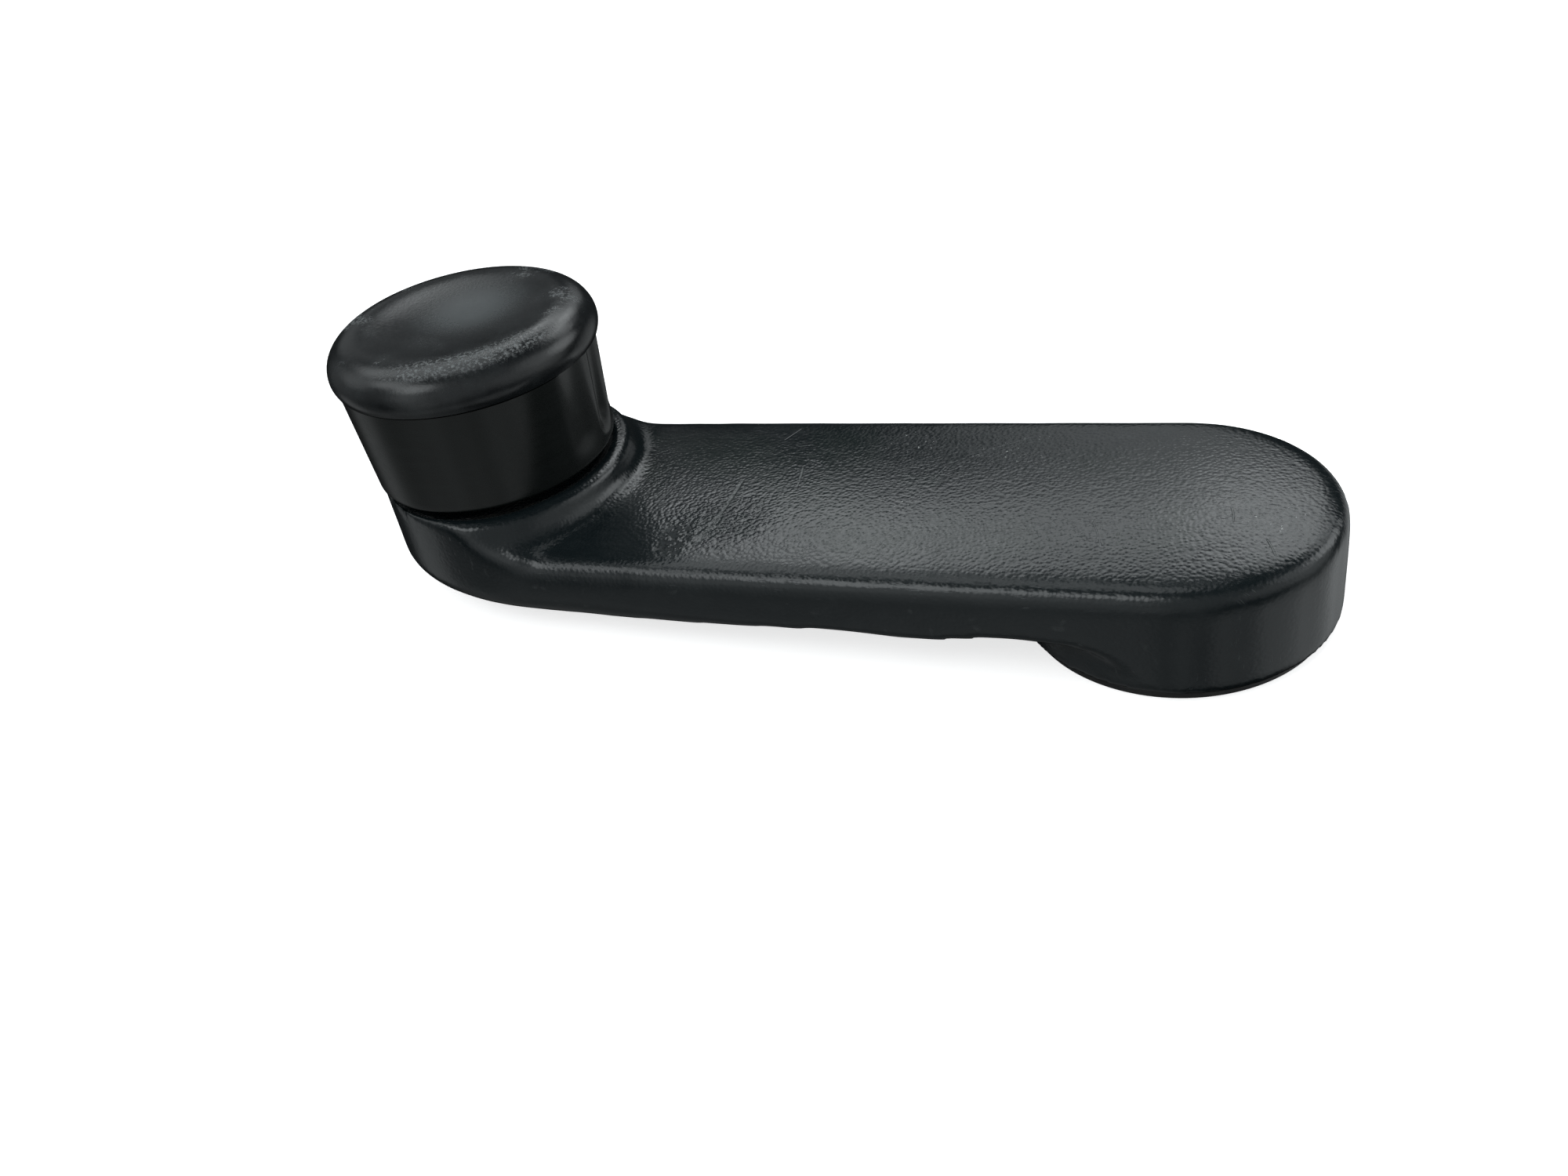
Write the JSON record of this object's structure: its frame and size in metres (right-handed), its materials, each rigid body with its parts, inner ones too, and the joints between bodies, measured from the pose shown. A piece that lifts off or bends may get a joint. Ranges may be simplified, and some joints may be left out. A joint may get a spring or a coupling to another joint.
{
  "type": "window winder handle",
  "caption": "Window crank handle with a splined hub, a hollow ribbed arm and a freely spinning flared finger knob under a dished cap.",
  "frame": {"origin": "on the spindle axis, in the plane of the bearing ring's running face and the bush's mouth", "axes": "+Z along the spindle axis away from the door, -X along the arm towards the finger knob, +Y completes the right-handed set"},
  "size_m": [0.1207, 0.036, 0.0354],
  "materials": {
    "grained_plastic": "fine moulded grain, satin, worn smooth in places",
    "knob_plastic": "smooth satin",
    "cap_plastic": "handled, half gloss",
    "ring_plastic": "plain dark",
    "washer_plastic": "natural nylon",
    "bush_metal": "cast zinc, dull",
    "pin_steel": "turned and plated",
    "spring_steel": "hardened, oil dark"
  },
  "bodies": {
    "crank": {"crank_arm": "grained_plastic", "spline_bush": "bush_metal", "knob_pin": "pin_steel", "rivet_washer": "pin_steel", "thrust_washer": "washer_plastic", "spring_washer": "spring_steel", "push_nut": "spring_steel"},
    "knob": {"knob_sleeve": "knob_plastic", "knob_cap": "cap_plastic"},
    "clip": {"retaining_clip": "spring_steel"},
    "ring": {"bearing_ring": "ring_plastic"}
  },
  "joints": [
    {"name": "knob_spin", "type": "hinge", "parent": "crank", "child": "knob", "pos_m": [-0.0858, 0, 0.0163], "axis": [0, 0, 1], "continuous": true},
    {"name": "ring_turn", "type": "hinge", "parent": "crank", "child": "ring", "pos_m": [0, 0, 0], "axis": [0, 0, 1], "continuous": true},
    {"name": "clip_release", "type": "slide", "parent": "crank", "child": "clip", "axis": [-1, 0, 0], "range_m": [0, 0.0115]}
  ]
}
